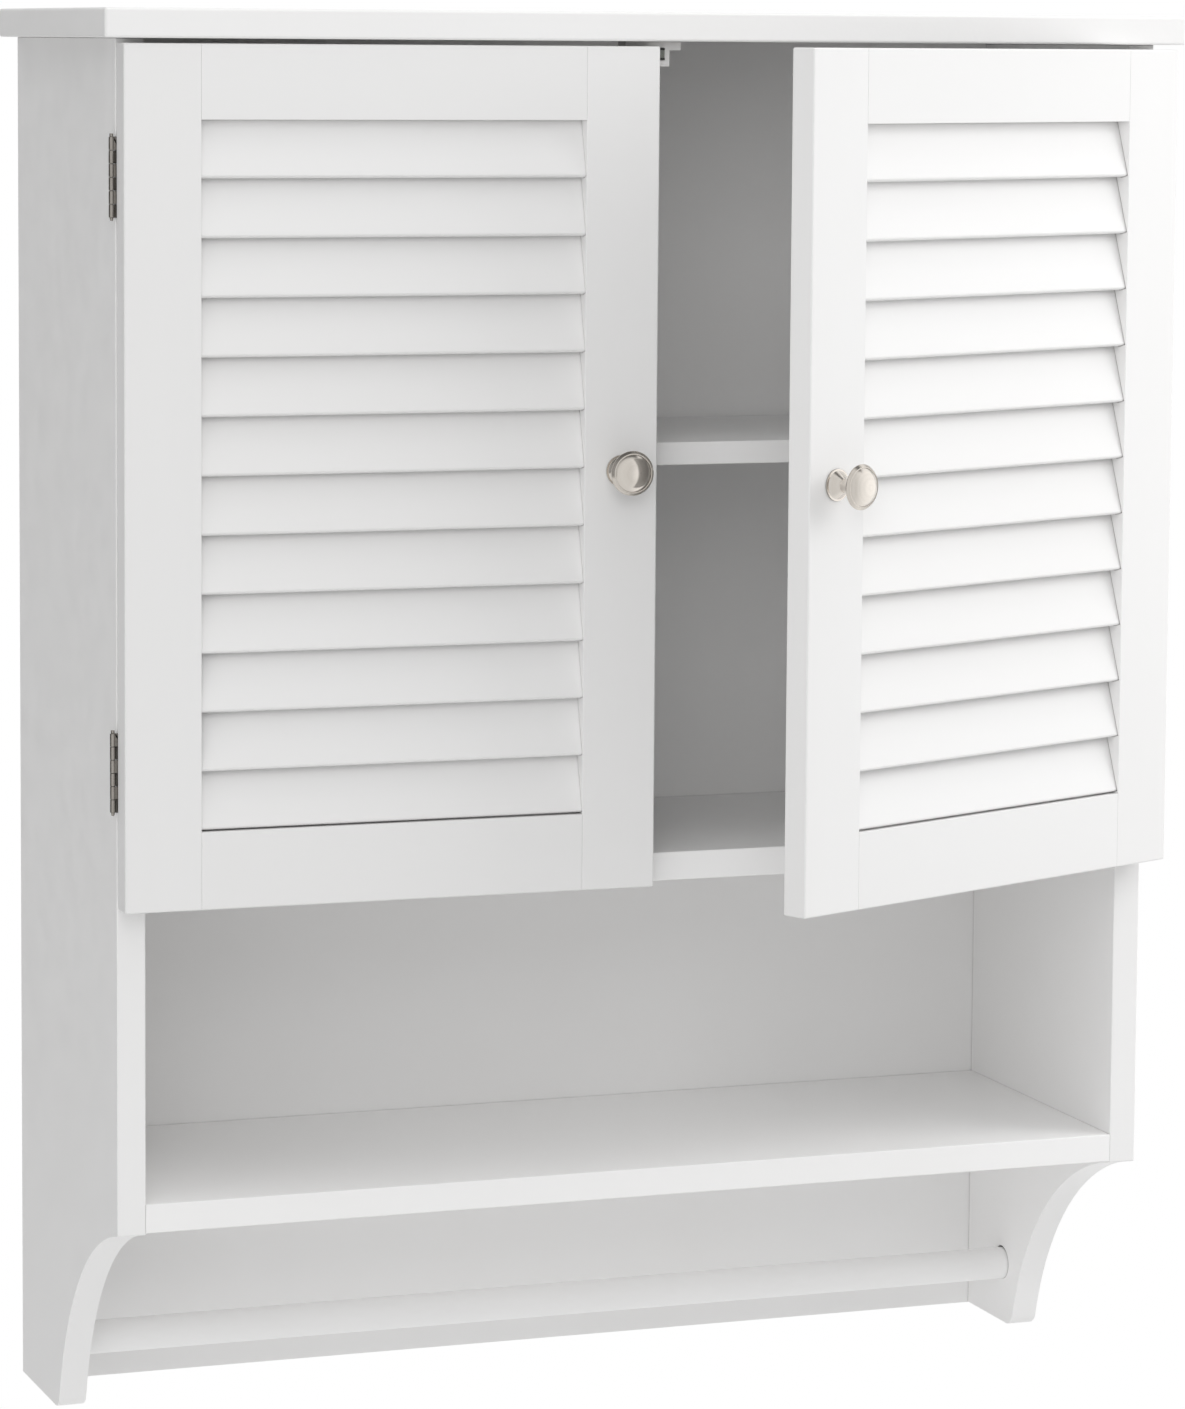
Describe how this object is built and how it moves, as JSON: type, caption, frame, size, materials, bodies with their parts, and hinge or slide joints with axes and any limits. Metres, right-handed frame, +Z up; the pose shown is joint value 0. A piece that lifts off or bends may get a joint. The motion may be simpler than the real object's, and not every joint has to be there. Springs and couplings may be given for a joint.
{
  "type": "wall cabinet with louvred doors",
  "caption": "White wall cabinet with two louvred doors, a loose shelf, an open bay below and a towel bar between curved side brackets.",
  "frame": {"origin": "on the wall plane, half way between the two wall-screw holes of the hanging rail", "axes": "+Y into the wall, so the doors face -Y; +Z up; +X to the right seen from the front"},
  "size_m": [0.595, 0.3541, 0.747],
  "materials": {
    "painted_board": "satin white paint on board",
    "painted_sheet": "white coated thin back sheet",
    "satin_nickel": "satin nickel plate",
    "cast_zinc": "bare die casting",
    "magnet_steel": "bright zinc plate",
    "white_plastic": "moulded white plastic",
    "beech": "bare fluted dowel"
  },
  "bodies": {
    "root": {"top_panel": "painted_board", "left_side_panel": "painted_board", "right_side_panel": "painted_board", "cabinet_floor": "painted_board", "lower_shelf": "painted_board", "back_panel": "painted_sheet", "hanging_rail": "painted_board", "towel_bar": "painted_board", "shelf_pins": "satin_nickel", "cam_locks": "cast_zinc", "cam_bolts": "cast_zinc", "dowels": "beech", "catch_housing": "white_plastic", "catch_magnet": "magnet_steel", "hinge_frame_leaves": "satin_nickel", "hinge_pins": "satin_nickel", "frame_screws": "satin_nickel"},
    "shelf": {"adjustable_shelf": "painted_board"},
    "left_door": {"left_hinge_stile": "painted_board", "left_meeting_stile": "painted_board", "left_top_rail": "painted_board", "left_bottom_rail": "painted_board", "left_slat_01": "painted_board", "left_slat_02": "painted_board", "left_slat_03": "painted_board", "left_slat_04": "painted_board", "left_slat_05": "painted_board", "left_slat_06": "painted_board", "left_slat_07": "painted_board", "left_slat_08": "painted_board", "left_slat_09": "painted_board", "left_slat_10": "painted_board", "left_slat_11": "painted_board", "left_slat_12": "painted_board", "left_knob": "satin_nickel", "left_knob_screw": "satin_nickel", "left_strike_plate": "magnet_steel", "left_hinge_leaves": "satin_nickel", "left_door_screws": "satin_nickel"},
    "right_door": {"right_hinge_stile": "painted_board", "right_meeting_stile": "painted_board", "right_top_rail": "painted_board", "right_bottom_rail": "painted_board", "right_slat_01": "painted_board", "right_slat_02": "painted_board", "right_slat_03": "painted_board", "right_slat_04": "painted_board", "right_slat_05": "painted_board", "right_slat_06": "painted_board", "right_slat_07": "painted_board", "right_slat_08": "painted_board", "right_slat_09": "painted_board", "right_slat_10": "painted_board", "right_slat_11": "painted_board", "right_slat_12": "painted_board", "right_knob": "satin_nickel", "right_knob_screw": "satin_nickel", "right_strike_plate": "magnet_steel", "right_hinge_leaves": "satin_nickel", "right_door_screws": "satin_nickel"}
  },
  "joints": [
    {"name": "left_door_hinge", "type": "hinge", "parent": "root", "child": "left_door", "pos_m": [-0.2897, -0.207, -0.19], "axis": [0, 0, -1], "range_deg": [0, 180]},
    {"name": "right_door_hinge", "type": "hinge", "parent": "root", "child": "right_door", "pos_m": [0.2897, -0.207, -0.19], "axis": [0, 0, 1], "range_deg": [-24.4, 155.6]},
    {"name": "shelf_lift", "type": "slide", "parent": "root", "child": "shelf", "axis": [0, 0, 1], "range_m": [0, 0.04]}
  ]
}
